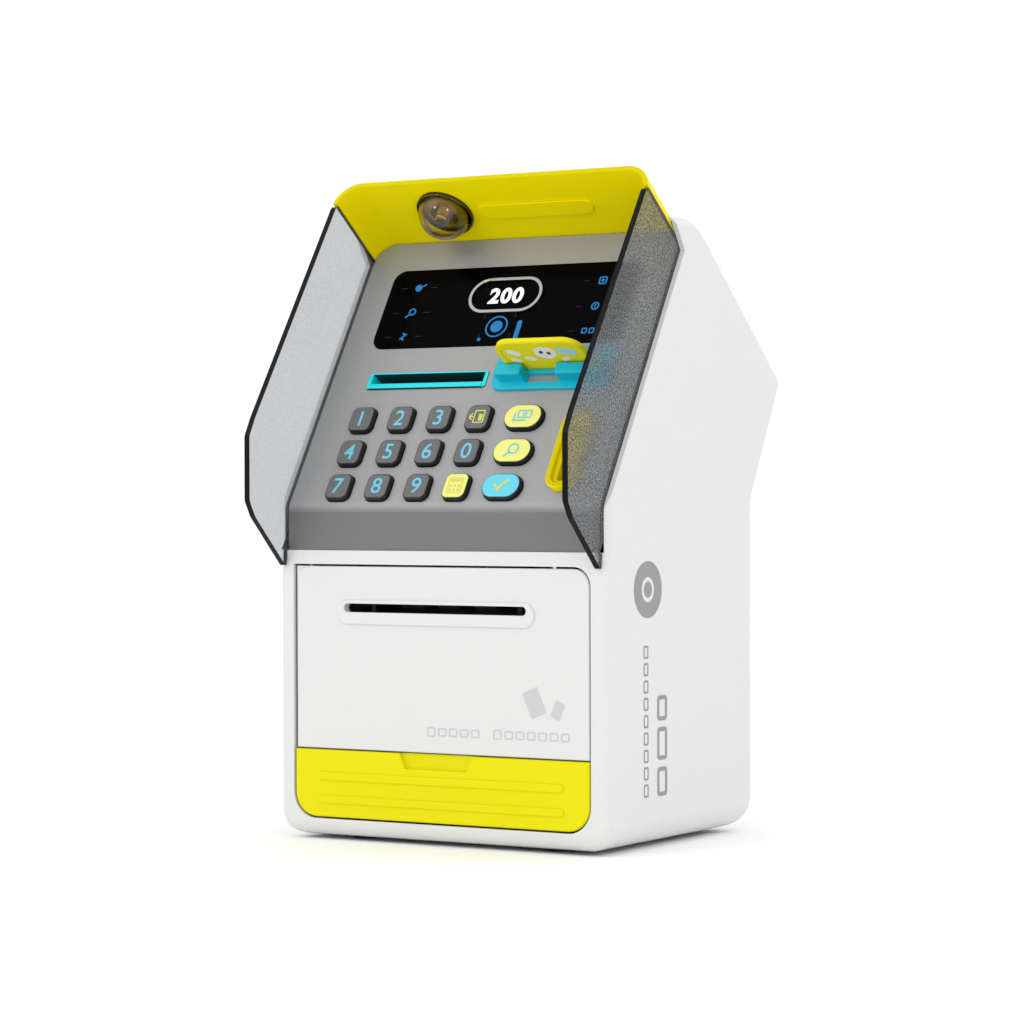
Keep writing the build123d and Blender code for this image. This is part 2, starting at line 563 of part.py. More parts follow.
def drawer_rails():
    rails = []
    for side in (-1, 1):
        rail = block(67.6, 75.4, -56, 40, 17.0, 25.0) - block(67, 70.6, -60, 36, 19.4, 22.6)
        rails.append(rail if side > 0 else mirror(rail, Plane.YZ))
    return Compound(rails)


def divider_shelf():
    shelf = block(-75.2, 75.2, -58.2, 36.0, SHELF_Z - 2.4, SHELF_Z)
    shelf -= block(COIN[0] - 5, COIN[0] + 5, -40, -14, 30, 50)
    shelf -= z_rod(HINGE_X, HINGE_Y, SHELF_Z - 9, SHELF_Z + 9, PIN_R + RUN_GAP)
    for x in (-20, 0, 20):
        shelf += block(x - 0.8, x + 0.8, -50, 30, SHELF_Z - 0.1, SHELF_Z + 1.4)
    return shelf


def lock_case():
    case = block(67.4, 75.3, -58.2, -38, 66, 84)
    case -= block(66, 74.2, HINGE_Y - 1.0, HINGE_Y + 1.5, LOCK_Z - 3.0, LOCK_Z + 3.0)
    case -= block(69, 74, -52, -40, 68, 82)
    return case


def lock_bolt():
    return block(66.9, 73.9, HINGE_Y - 0.6, HINGE_Y + 1.1, LOCK_Z - 2.6, LOCK_Z + 2.6)


DRIVE = fascia_point(-63.6, -19.5)
MESH = degrees(atan2(LEAN_COS, LEAN_SIN))


def idler_centre():
    """The idler presses on the drive roller across the note path."""
    return (DRIVE[0] + IDLER_OFF * LEAN_SIN, DRIVE[1] + IDLER_OFF * LEAN_COS)


def motor_centre():
    gap = GEAR_R["drive"] + GEAR_R["motor"] + 0.1
    return (DRIVE[0] + gap * LEAN_COS, DRIVE[1] - gap * LEAN_SIN)


def roller(y, z, tyre_r, x0, x1):
    body = x_rod(y, z, x0, x1, SHAFT_R)
    span = (x1 - x0) / 4
    for i in range(3):
        mid = (x0 + x1) / 2 + (i - 1) * span
        body += x_rod(y, z, mid - 5, mid + 5, tyre_r)
    return body


def gear(y, z, kind, x0, x1, phase):
    """Spur gear with plain square teeth, its axle along X."""
    pitch_r, teeth = GEAR_R[kind], GEAR_TEETH[kind]
    root, tip = pitch_r - 0.9, pitch_r + 0.55
    wheel = Cylinder(root, x1 - x0)
    for i in range(teeth):
        tooth = Pos((root - 0.5 + tip) / 2, 0, 0) * Box(tip - root + 0.5, pitch_r * 1.9 / teeth, x1 - x0)
        wheel += Rot(0, 0, phase + 360 * i / teeth) * tooth
    return Pos((x0 + x1) / 2, y, z) * Rot(0, 90, 0) * wheel


def note_drive_roller():
    wheel = gear(*DRIVE, "drive", FEED_X0 - 4.5, FEED_X0 - 1.5, MESH)
    return roller(*DRIVE, 4.6, FEED_X0 - 4.5, FEED_X1 - 0.5) + wheel


def note_idler_roller():
    return roller(*idler_centre(), 4.6, FEED_X0 - 1.5, FEED_X1 - 0.5)


def motor_pinion():
    y, z = motor_centre()
    shaft = x_rod(y, z, FEED_X0 - 4.5, FEED_X0 + 1.8, 1.0)
    half_pitch = 180 / GEAR_TEETH["motor"]
    return shaft + gear(y, z, "motor", FEED_X0 - 4.3, FEED_X0 - 1.7, MESH + 180 + half_pitch)


def feed_frame():
    z0, z1 = 155, 197
    cheeks = block(FEED_X0, FEED_X0 + 2, -36, 6, z0, z1) + block(FEED_X1 - 3, FEED_X1 - 1, -36, 6, z0, z1)
    frame = cheeks + block(FEED_X0, FEED_X1 - 1, 4, 6, z0, z1)
    behind = prism([fascia_point(-90, -14.5), fascia_point(-40, -14.5), (60, 240), (60, 140)],
                   [0] * 4, -70, 20)
    feet = prism([fascia_point(-68, -2.3), fascia_point(-50, -2.3), fascia_point(-50, -20),
                  fascia_point(-68, -20)], [0] * 4, -70, 20)
    frame &= behind + feet
    for y, z in (DRIVE, idler_centre()):
        frame -= x_rod(y, z, FEED_X0 - 5, FEED_X1 + 5, SHAFT_R + RUN_GAP)
    y, z = motor_centre()
    frame -= x_rod(y, z, FEED_X0 - 5, FEED_X0 + 3, 2.2)
    return frame


def feed_motor():
    y, z = motor_centre()
    can = x_rod(y, z, FEED_X0 + 2.2, FEED_X0 + 26, 5.2)
    return can - x_rod(y, z, FEED_X0 + 1, FEED_X0 + 8, 1.0 + RUN_GAP)


def dispense_roller():
    return roller(*DISPENSE, 4.4, -35.5, 33.5)


def dispenser_frame():
    cheeks = []
    for x in (-36.5, 32.5):
        cheek = block(x, x + 2, -54, -38, 38.6, 104)
        cheek -= x_rod(*DISPENSE, x - 1, x + 3, SHAFT_R + RUN_GAP)
        cheeks.append(cheek)
    return cheeks[0] + cheeks[1] + block(-36.5, 34.5, -40, -38, 38.6, 104)


def speaker():
    cone = Cylinder(14, 3.2, align=(Align.CENTER, Align.CENTER, Align.MIN))
    magnet = Pos(0, 0, 3.2) * Cylinder(8, 5, align=(Align.CENTER, Align.CENTER, Align.MIN))
    return Pos(0, BACK_Y - 4.8, 104) * Rot(90, 0, 0) * (cone + magnet)


for node, make in {
    "main_housing": main_housing, "base_plate": base_plate, "rubber_feet": rubber_feet,
    "base_screws": base_screws, "rear_cover": rear_cover, "rear_cover_screws": rear_cover_screws,
    "battery_door": battery_door, "battery_door_screw": battery_door_screw, "battery_box": battery_box,
    "batteries": batteries, "battery_contacts": battery_contacts, "fascia_panel": fascia_panel,
    "screen_window": screen_window, "display_bezel": display_bezel, "display_board": display_board,
    "note_inlet": note_inlet, "card_holder": card_holder, "card_sleeve": card_sleeve,
    "bank_card": bank_card, "coin_slot_bezel": coin_slot_bezel, "coin_chute": coin_chute,
    "keypad_membrane": keypad_membrane, "keypad_board": keypad_board, "visor_hood": visor_hood,
    "dome_bezel": dome_bezel, "dome_lens": dome_lens, "dome_lamp": dome_lamp,
    "cash_door": cash_door, "door_hinge_pins": door_hinge_pins, "drawer_front": drawer_front,
    "drawer_tray": drawer_tray, "drawer_rails": drawer_rails, "divider_shelf": divider_shelf,
    "lock_case": lock_case, "lock_bolt": lock_bolt, "note_drive_roller": note_drive_roller,
    "note_idler_roller": note_idler_roller, "motor_pinion": motor_pinion, "feed_frame": feed_frame,
    "feed_motor": feed_motor, "dispense_roller": dispense_roller, "dispenser_frame": dispenser_frame,
    "speaker": speaker,
}.items():
    save(node, make())

save("side_panel_right", side_panel(1))
save("side_panel_left", side_panel(-1))
save_keys()
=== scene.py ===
import json
import math

import bmesh
import bpy
from mathutils import Matrix, Vector


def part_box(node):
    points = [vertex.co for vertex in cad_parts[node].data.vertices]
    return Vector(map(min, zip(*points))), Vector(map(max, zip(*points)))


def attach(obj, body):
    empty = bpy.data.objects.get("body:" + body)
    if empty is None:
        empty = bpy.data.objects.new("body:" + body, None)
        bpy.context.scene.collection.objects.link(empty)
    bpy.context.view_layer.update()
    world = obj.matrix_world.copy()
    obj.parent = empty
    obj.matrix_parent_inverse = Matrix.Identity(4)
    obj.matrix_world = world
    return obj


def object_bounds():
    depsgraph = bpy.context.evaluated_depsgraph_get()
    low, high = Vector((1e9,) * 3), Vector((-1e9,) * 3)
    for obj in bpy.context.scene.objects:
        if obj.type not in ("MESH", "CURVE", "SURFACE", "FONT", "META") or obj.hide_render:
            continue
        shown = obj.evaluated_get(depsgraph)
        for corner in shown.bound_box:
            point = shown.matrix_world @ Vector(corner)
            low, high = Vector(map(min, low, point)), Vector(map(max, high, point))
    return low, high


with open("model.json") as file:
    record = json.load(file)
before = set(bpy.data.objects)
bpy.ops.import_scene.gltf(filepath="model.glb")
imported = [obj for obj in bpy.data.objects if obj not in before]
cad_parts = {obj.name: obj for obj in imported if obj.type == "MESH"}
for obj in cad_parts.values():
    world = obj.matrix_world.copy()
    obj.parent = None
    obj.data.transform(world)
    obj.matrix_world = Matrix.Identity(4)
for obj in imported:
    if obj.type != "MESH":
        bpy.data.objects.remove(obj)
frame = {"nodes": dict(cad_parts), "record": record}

# Toy cash machine savings bank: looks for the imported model, in metres.
CAD_LOW, CAD_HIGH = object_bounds()
MM = 0.001
SKIN = 0.01 * MM                         # gap between a print and the face under it
SLOT_OF = {part["node"]: part["material_slot"] for part in frame["record"]["subparts"]}

# The fascia leans back: V runs up its slope and N points out of it.
LEAN = math.atan2(0.5200, 0.8542)
N = Vector((0.0, -math.cos(LEAN), math.sin(LEAN)))
V = Vector((0.0, math.sin(LEAN), math.cos(LEAN)))
X = Vector((1.0, 0.0, 0.0))
UP = Vector((0.0, 0.0, 1.0))

CAMERA_PLACE = (0.67356, -1.10167, 0.14118)
CAMERA_YAW, CAMERA_PITCH, CAMERA_ROLL = 31.559, 0.380, 0.157
CAMERA_LENS, CAMERA_SENSOR = 109.97, 36.0


# ---- camera, light and floor ----------------------------------------------
def add_camera():
    yaw, pitch, roll = (math.radians(turn) for turn in (CAMERA_YAW, CAMERA_PITCH, CAMERA_ROLL))
    ahead = Vector((-math.sin(yaw) * math.cos(pitch), math.cos(yaw) * math.cos(pitch), -math.sin(pitch)))
    right = Vector((math.cos(yaw), math.sin(yaw), 0.0))
    above = right.cross(ahead)
    turned_right = right * math.cos(roll) - above * math.sin(roll)
    turned_up = right * math.sin(roll) + above * math.cos(roll)
    data = bpy.data.cameras.new("camera")
    data.lens, data.sensor_width = CAMERA_LENS, CAMERA_SENSOR
    data.clip_start, data.clip_end = 0.05, 20.0
    camera = bpy.data.objects.new("camera", data)
    bpy.context.scene.collection.objects.link(camera)
    axes = Matrix((turned_right, turned_up, -ahead)).transposed().to_4x4()
    camera.matrix_world = Matrix.Translation(CAMERA_PLACE) @ axes
    bpy.context.scene.camera = camera


def add_area(name, place, target, size, power):
    data = bpy.data.lights.new(name, "AREA")
    data.shape, data.size, data.energy = "SQUARE", size, power
    lamp = bpy.data.objects.new(name, data)
    bpy.context.scene.collection.objects.link(lamp)
    lamp.location = place
    lamp.rotation_euler = (Vector(target) - Vector(place)).to_track_quat("-Z", "Y").to_euler()


def add_studio():
    scene = bpy.context.scene
    world = bpy.data.worlds.new("studio")
    world.use_nodes = True
    world.node_tree.nodes["Background"].inputs["Color"].default_value = (1.0, 1.0, 1.0, 1.0)
    world.node_tree.nodes["Background"].inputs["Strength"].default_value = 1.03
    scene.world = world
    scene.view_settings.view_transform = "Standard"
    middle = (0.0, 0.0, 0.14)
    add_area("key_light", (-0.9, -1.3, 1.3), middle, 1.1, 2.6)
    add_area("fill_light", (1.6, -0.5, 0.7), middle, 1.2, 2.0)
    add_area("back_light", (0.3, 1.4, 1.2), middle, 1.0, 2.5)
    add_area("glint_left", (-0.35, -1.2, 0.75), middle, 0.20, 1.5)
    add_area("glint_right", (0.95, -1.0, 0.55), middle, 0.15, 0.8)
    bm = bmesh.new()
    bmesh.ops.create_grid(bm, x_segments=8, y_segments=8, size=12.0)
    mesh = bpy.data.meshes.new("floor")
    bm.to_mesh(mesh)
    bm.free()
    floor = bpy.data.objects.new("floor", mesh)
    scene.collection.objects.link(floor)
    paper = plastic("floor_paper", (0.97, 0.97, 0.97), 0.9, grain=400.0, depth=0.0, vary=0.01)
    floor.data.materials.append(paper)


# ---- materials --------------------------------------------------------------
def wire(tree, a, output, b, entry):
    tree.links.new(a.outputs[output], b.inputs[entry])


def noise(tree, scale, detail=3.0):
    """Noise in the object's own coordinates; scale is in features per metre."""
    place = tree.nodes.new("ShaderNodeTexCoord")
    texture = tree.nodes.new("ShaderNodeTexNoise")
    texture.inputs["Scale"].default_value = scale
    texture.inputs["Detail"].default_value = detail
    wire(tree, place, "Object", texture, "Vector")
    return texture


def spread(tree, source, low, high):
    ranged = tree.nodes.new("ShaderNodeMapRange")
    ranged.inputs["From Min"].default_value, ranged.inputs["From Max"].default_value = 0.3, 0.7
    ranged.inputs["To Min"].default_value, ranged.inputs["To Max"].default_value = low, high
    wire(tree, source, "Fac", ranged, "Value")
    return ranged


def tint(tree, factor, output, dark, light):
    mix = tree.nodes.new("ShaderNodeMix")
    mix.data_type = "RGBA"
    mix.inputs[6].default_value = (*dark, 1.0)
    mix.inputs[7].default_value = (*light, 1.0)
    wire(tree, factor, output, mix, 0)
    return mix


def plastic(name, color, rough, grain=1800.0, depth=0.06, vary=0.05, metallic=0.0, coat=0.0, flecks=0.0,
            shine=0.5):
    """Moulded plastic: faint cloudiness, uneven gloss and a fine moulded grain."""
    mat = bpy.data.materials.new(name)
    mat.use_nodes = True
    tree = mat.node_tree
    shader = tree.nodes["Principled BSDF"]
    shader.inputs["Metallic"].default_value = metallic
    shader.inputs["Coat Weight"].default_value = coat
    shader.inputs["Coat Roughness"].default_value = 0.12
    shader.inputs["Specular IOR Level"].default_value = shine
    cloud, fine = noise(tree, 22.0), noise(tree, grain, 4.0)
    dark = tuple(c * (1.0 - vary) for c in color)
    body = tint(tree, cloud, "Fac", dark, color)
    if flecks:
        spark = spread(tree, fine, 1.0 - flecks, 1.0 + flecks)
        shade = tree.nodes.new("ShaderNodeVectorMath")
        shade.operation = "SCALE"
        tree.links.new(body.outputs[2], shade.inputs[0])
        wire(tree, spark, "Result", shade, "Scale")
        tree.links.new(shade.outputs[0], shader.inputs["Base Color"])
    else:
        tree.links.new(body.outputs[2], shader.inputs["Base Color"])
    wire(tree, spread(tree, cloud, rough * 0.92, rough * 1.1), "Result", shader, "Roughness")
    if depth:
        bump = tree.nodes.new("ShaderNodeBump")
        bump.inputs["Strength"].default_value = depth
        bump.inputs["Distance"].default_value = 0.0002
        wire(tree, fine, "Fac", bump, "Height")
        wire(tree, bump, "Normal", shader, "Normal")
    return mat


def facing(tree, axis, low, high):
    """0 to 1 as the surface turns to face the axis."""
    geometry = tree.nodes.new("ShaderNodeNewGeometry")
    dot = tree.nodes.new("ShaderNodeVectorMath")
    dot.operation = "DOT_PRODUCT"
    dot.inputs[1].default_value = axis
    wire(tree, geometry, "Normal", dot, 0)
    ranged = tree.nodes.new("ShaderNodeMapRange")
    ranged.inputs["From Min"].default_value, ranged.inputs["From Max"].default_value = low, high
    wire(tree, dot, "Value", ranged, "Value")
    return ranged


def shaded_by(mat, axis, low, high, color):
    """Fade a material into another colour as its surface turns from the axis."""
    tree = mat.node_tree
    base = tree.nodes["Principled BSDF"].inputs["Base Color"]
    mix = tree.nodes.new("ShaderNodeMix")
    mix.data_type = "RGBA"
    mix.inputs[6].default_value = (*color, 1.0)
    tree.links.new(base.links[0].from_socket, mix.inputs[7])
    wire(tree, facing(tree, axis, low, high), "Result", mix, 0)
    tree.links.new(mix.outputs[2], base)
    return mat


def key_cap(name, top, side):
    """Key with a coloured top face and painted shade on its skirt."""
    mat = plastic(name, top, 0.38, grain=2600.0, depth=0.05, shine=0.4)
    # painted shade: the skirt colour on faces turned away from the fascia's front
    return shaded_by(mat, N, 0.80, 0.93, side)


def fascia_paint(name, color):
    """Fine metallic paint, with painted shade where the panel turns down below the keys."""
    mat = plastic(name, color, 0.42, grain=3500.0, depth=0.12, metallic=0.25, flecks=0.08, shine=0.3)
    # painted shade: half the colour on faces turned away from the fascia's front
    return shaded_by(mat, N, 0.87, 0.985, tuple(0.50 * c for c in color))


def visor_look(name, painted_shade_color, color):
    """Yellow shell with painted shade on its faces turned like the fascia; color is its colour elsewhere.
    """
    return shaded_by(plastic(name, painted_shade_color, 0.40, vary=0.02, shine=0.03), N, 0.92, 0.985, color)


def inlet_look(name, color):
    """Bright lips, with painted shade on the roof inside the mouth."""
    return shaded_by(plastic(name, color, 0.28, shine=0.3), V, -0.8, -0.3, (0.008, 0.035, 0.040))


def frosted(name, color, edge_painted_shade, clarity, flecks):
    """Frosted smoked sheet: rough, grainy faces, and painted shade on the cut edges."""
    mat = plastic(name, color, 0.22, grain=1300.0, depth=0.5, vary=0.06, flecks=flecks)
    tree = mat.node_tree
    shader = tree.nodes["Principled BSDF"]
    shader.inputs["IOR"].default_value = 1.22
    body = shader.inputs["Base Color"].links[0].from_socket
    mix = tree.nodes.new("ShaderNodeMix")
    mix.data_type = "RGBA"
    mix.inputs[6].default_value = (*edge_painted_shade, 1.0)
    tree.links.new(body, mix.inputs[7])
    squared = tree.nodes.new("ShaderNodeMath")
    squared.operation = "POWER"
    squared.inputs[1].default_value = 2.0
    side = facing(tree, X, 0.0, 1.0)
    side.clamp = False
    wire(tree, side, "Result", squared, 0)
    wire(tree, squared, "Value", mix, 0)
    tree.links.new(mix.outputs[2], shader.inputs["Base Color"])
    clear = tree.nodes.new("ShaderNodeMath")
    clear.operation = "MULTIPLY"
    clear.inputs[1].default_value = clarity
    wire(tree, squared, "Value", clear, 0)
    wire(tree, clear, "Value", shader, "Transmission Weight")
    return mat


def clear_dome(name, color):
    """Smoked dome, with painted shade where its wall turns from the front."""
    mat = plastic(name, color, 0.015, grain=60.0, depth=0.01, vary=0.08)
    mat = shaded_by(mat, Vector((0.45, -0.85, -0.25)), 0.15, 0.60, (0.36, 0.28, 0.14))
    shader = mat.node_tree.nodes["Principled BSDF"]
    shader.inputs["Transmission Weight"].default_value = 1.0
    shader.inputs["IOR"].default_value = 1.5
    return mat


def glowing(name, color, strength):
    mat = plastic(name, tuple(0.4 * c for c in color), 0.3, grain=1500.0, depth=0.0, vary=0.12, shine=0.1)
    shader = mat.node_tree.nodes["Principled BSDF"]
    shader.inputs["Emission Color"].default_value = (*color, 1.0)
    shader.inputs["Emission Strength"].default_value = strength
    return mat


def metal(name, color, rough, grain=700.0):
    return plastic(name, color, rough, grain=grain, depth=0.08, vary=0.08, metallic=1.0)


# near-black painted shade for the key skirts and the panels' cut edges
PAINTED_SHADE_BLACK = (0.003, 0.003, 0.004)
SLOT_LOOKS = {
    "white_shell": plastic("white_shell", (0.70, 0.70, 0.70), 0.38, depth=0.05, vary=0.012, shine=0.35),
    "grey_base": plastic("grey_base", (0.42, 0.42, 0.42), 0.55),
    "rubber": plastic("rubber", (0.03, 0.03, 0.03), 0.8, depth=0.3),
    "steel": metal("steel", (0.55, 0.55, 0.56), 0.32),
    "black_frame": plastic("black_frame", (0.02, 0.02, 0.022), 0.5, depth=0.15, shine=0.3),
    "cell_sleeve": plastic("cell_sleeve", (0.05, 0.07, 0.09), 0.25, coat=0.4),
    "grey_fascia": fascia_paint("grey_fascia", (0.345, 0.345, 0.348)),
    "black_window": plastic("black_window", (0.0008, 0.0008, 0.001), 0.14, grain=90.0, depth=0.01,
                            shine=0.02),
    "chrome_trim": metal("chrome_trim", (0.46, 0.47, 0.48), 0.12, 120.0),
    "circuit_board": plastic("circuit_board", (0.01, 0.10, 0.04), 0.35, coat=0.3),
    "cyan_trim": plastic("cyan_trim", (0.004, 0.46, 0.62), 0.30, shine=0.3),
    "cyan_inlet": inlet_look("cyan_inlet", (0.006, 0.72, 0.78)),
    "yellow_shell": visor_look("yellow_shell", (0.66, 0.56, 0.001), (0.86, 0.72, 0.001)),
    "drawer_yellow": plastic("drawer_yellow", (0.76, 0.70, 0.002), 0.36, vary=0.02, shine=0.12),
    "membrane": plastic("membrane", (0.5, 0.5, 0.52), 0.7),
    "smoked_panel": frosted("smoked_panel", (0.625, 0.650, 0.675), PAINTED_SHADE_BLACK, 0.96, 0.10),
    # same plastic as smoked_panel; the right panel's darker base colour is painted shade
    "smoked_panel_dark": frosted("smoked_panel_dark", (0.45, 0.465, 0.48), PAINTED_SHADE_BLACK, 0.88, 1.0),
    "dark_chrome": metal("dark_chrome", (0.085, 0.072, 0.055), 0.10, 120.0),
    "smoked_lens": clear_dome("smoked_lens", (0.97, 0.90, 0.62)),
    "lamp": metal("lamp", (0.90, 0.72, 0.16), 0.22, 300.0),
    "card_yellow": plastic("card_yellow", (0.76, 0.69, 0.012), 0.30, vary=0.02, shine=0.08),
    "roller_rubber": plastic("roller_rubber", (0.03, 0.03, 0.033), 0.75, depth=0.3),
    "brass": metal("brass", (0.65, 0.47, 0.18), 0.3),
    "grey_key": key_cap("grey_key", (0.125, 0.125, 0.130), PAINTED_SHADE_BLACK),
    "pale_key": key_cap("pale_key", (0.82, 0.81, 0.20), PAINTED_SHADE_BLACK),
    "cyan_key": key_cap("cyan_key", (0.12, 0.62, 0.78), PAINTED_SHADE_BLACK),
}
INKS = {
    "cyan_ink": plastic("cyan_ink", (0.16, 0.55, 0.72), 0.4, depth=0.02, shine=0.2),
    "yellow_ink": plastic("yellow_ink", (0.66, 0.62, 0.13), 0.4, depth=0.02, shine=0.2),
    "grey_print": plastic("grey_print", (0.30, 0.30, 0.31), 0.5, depth=0.02, shine=0.2),
    "pale_print": plastic("pale_print", (0.56, 0.56, 0.57), 0.5, depth=0.02, shine=0.2),
    "white_print": plastic("white_print", (0.80, 0.80, 0.77), 0.35, depth=0.02, shine=0.2),
    "blue_print": plastic("blue_print", (0.36, 0.66, 0.78), 0.35, depth=0.02, shine=0.2),
    "screen_blue": glowing("screen_blue", (0.02, 0.21, 0.52), 0.6),
    "screen_dim": glowing("screen_dim", (0.008, 0.02, 0.04), 0.6),
    "screen_white": glowing("screen_white", (0.86, 0.88, 0.92), 0.9),
    "dark_ink": plastic("dark_ink", (0.03, 0.03, 0.03), 0.5, depth=0.02),
}


def dress_nodes():
    for node, obj in frame["nodes"].items():
        obj.data.materials.clear()
        obj.data.materials.append(SLOT_LOOKS[SLOT_OF[node]])


# ---- small moulded and printed pieces ------------------------------------------
FASCIA_POINT = Vector((0.0, 1.4, 237.4)) * MM
PRINT_T = 0.08 * MM


def at(x, v, off=0.0):
    """A point from fascia coordinates in millimetres."""
    return FASCIA_POINT + (X * x + V * v + N * off) * MM


class Relief:
    """Thin closed shapes laid on a plane, in millimetres, made into one piece."""

    def __init__(self, origin, across, up):
        self.origin, self.across, self.up = origin, across, up
        self.out = across.cross(up)
        self.bm = bmesh.new()
        self.thick = PRINT_T

    def place(self, x, y, height):
        return self.origin + (self.across * x + self.up * y) * MM + self.out * height

    def slab(self, points):
        low = [self.bm.verts.new(self.place(x, y, 0.0)) for x, y in points]
        high = [self.bm.verts.new(self.place(x, y, self.thick)) for x, y in points]
        self.bm.faces.new(high)
        self.bm.faces.new(low[::-1])
        for i in range(len(points)):
            j = (i + 1) % len(points)
            self.bm.faces.new((low[i], low[j], high[j], high[i]))

    def band(self, outer, inner):
        loops = []
        for points in (outer, inner):
            loops.append([self.bm.verts.new(self.place(x, y, 0.0)) for x, y in points])
            loops.append([self.bm.verts.new(self.place(x, y, self.thick)) for x, y in points])
        low_out, high_out, low_in, high_in = loops
        for i in range(len(outer)):
            j = (i + 1) % len(outer)
            self.bm.faces.new((high_out[i], high_out[j], high_in[j], high_in[i]))
            self.bm.faces.new((low_out[j], low_out[i], low_in[i], low_in[j]))
            self.bm.faces.new((low_out[i], low_out[j], high_out[j], high_out[i]))
            self.bm.faces.new((low_in[j], low_in[i], high_in[i], high_in[j]))

    def disc(self, x, y, radius, squash=1.0):
        self.slab(arc(x, y, radius, squash))

    def ring(self, x, y, outer, inner, squash=1.0):
        self.band(arc(x, y, outer, squash), arc(x, y, inner, squash))

    def bar(self, x, y, length, width, angle=0.0, radius=0.3):
        self.slab(rounded(x, y, length, width, angle, radius))

    def frame(self, x, y, length, width, line, radius=1.0):
        inner = rounded(x, y, length - 2 * line, width - 2 * line, 0.0, max(radius - line, 0.05))
        self.band(rounded(x, y, length, width, 0.0, radius), inner)

    def finish(self, name, body, look):
        mesh = bpy.data.meshes.new(name)
        self.bm.to_mesh(mesh)
        self.bm.free()
        return settle(name, mesh, body, look)


def settle(name, mesh, body, look):
    piece = bpy.data.objects.new(name, mesh)
    bpy.context.scene.collection.objects.link(piece)
    mesh.materials.clear()
    mesh.materials.append(look)
    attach(piece, body)
    return piece


def arc(x, y, radius, squash=1.0, steps=40):
    turns = [2 * math.pi * i / steps for i in range(steps)]
    return [(x + radius * math.cos(t), y + radius * squash * math.sin(t)) for t in turns]


def rounded(x, y, length, width, angle, radius, steps=6):
    radius = min(radius, length / 2 - 0.001, width / 2 - 0.001)
    turn, points = math.radians(angle), []
    for corner, (sx, sy) in enumerate(((1, 1), (-1, 1), (-1, -1), (1, -1))):
        for i in range(steps + 1):
            t = math.pi / 2 * (corner + i / steps)
            px = sx * (length / 2 - radius) + radius * math.cos(t)
            py = sy * (width / 2 - radius) + radius * math.sin(t)
            points.append((x + px * math.cos(turn) - py * math.sin(turn),
                           y + px * math.sin(turn) + py * math.cos(turn)))
    return points


def lettering(name, text, size, origin, across, up, body, look, weight=0.0, spacing=1.0):
    curve = bpy.data.curves.new(name, "FONT")
    curve.body, curve.size, curve.offset = text, size * MM, weight * MM
    curve.space_character = spacing
    curve.align_x, curve.align_y = "CENTER", "CENTER"
    curve.extrude = PRINT_T / 2
    holder = bpy.data.objects.new(name + "_text", curve)
    bpy.context.scene.collection.objects.link(holder)
    bpy.context.view_layer.update()
    mesh = bpy.data.meshes.new_from_object(holder.evaluated_get(bpy.context.evaluated_depsgraph_get()))
    bpy.data.objects.remove(holder)
    low = [min(v.co[i] for v in mesh.vertices) for i in (0, 1)]
    high = [max(v.co[i] for v in mesh.vertices) for i in (0, 1)]
    centred = Matrix.Translation((-(low[0] + high[0]) / 2, -(low[1] + high[1]) / 2, PRINT_T / 2))
    axes = Matrix((across, up, across.cross(up))).transposed().to_4x4()
    mesh.transform(Matrix.Translation(origin) @ axes @ centred)
    bm = bmesh.new()
    bm.from_mesh(mesh)
    bmesh.ops.remove_doubles(bm, verts=bm.verts, dist=1e-7)
    bm.to_mesh(mesh)
    bm.free()
    return settle(name, mesh, body, look)


def key_top(node):
    """Middle of a key's top face."""
    points = [v.co for v in frame["nodes"][node].data.vertices]
    spans = [[p.dot(axis) for p in points] for axis in (X, V, N)]
    middle = [(min(s) + max(s)) / 2 for s in spans[:2]]
    return X * middle[0] + V * middle[1] + N * (max(spans[2]) + SKIN)


# ---- keypad ------------------------------------------------------------------
def add_keypad():
    for digit in range(10):
        node = f"key_{digit}"
        lettering(f"digit_{digit}", str(digit), 10.0, key_top(node), X, V, node,
                  INKS["cyan_ink"], weight=0.06)
    door = Relief(key_top("key_exit"), X, V)
    door.frame(0.9, 0, 5.0, 6.2, 0.55, 0.8)
    door.bar(-2.5, 0, 1.6, 0.6)
    door.bar(-3.0, 0.85, 2.0, 0.6, 45)
    door.bar(-3.0, -0.85, 2.0, 0.6, -45)
    door.bar(1.6, -0.4, 1.8, 3.2)
    door.finish("exit_symbol", "key_exit", INKS["yellow_ink"])
    menu = Relief(key_top("key_menu"), X, V)
    menu.frame(0, 0, 6.8, 7.2, 0.5, 0.9)
    menu.bar(0, 2.2, 5.0, 1.1)
    for row in range(2):
        for col in range(3):
            menu.bar(-1.9 + 1.9 * col, -0.2 - 1.9 * row, 1.1, 1.1)
    menu.finish("menu_symbol", "key_menu", INKS["yellow_ink"])
    notes = Relief(key_top("key_transfer"), X, V)
    notes.frame(0.9, 0.8, 6.6, 3.8, 0.6, 0.7)
    notes.ring(0.9, 0.8, 1.1, 0.5)
    notes.bar(-1.2, -2.1, 6.2, 0.7)
    notes.bar(-3.6, -0.4, 0.7, 3.6)
    notes.finish("transfer_symbol", "key_transfer", INKS["cyan_ink"])
    lens = Relief(key_top("key_search"), X, V)
    lens.ring(0.7, 0.6, 2.5, 1.8)
    lens.bar(-1.9, -1.9, 3.2, 0.9, 45)
    lens.finish("search_symbol", "key_search", INKS["cyan_ink"])
    tick = Relief(key_top("key_confirm"), X, V)
    tick.slab([(-3.4, 0.2), (-1.0, -2.6), (3.6, 2.2), (2.8, 3.0), (-1.0, -0.9), (-2.6, 1.0)])
    tick.finish("confirm_symbol", "key_confirm", INKS["yellow_ink"])


# ---- screen --------------------------------------------------------------------
SCREEN_OFF = 0.42


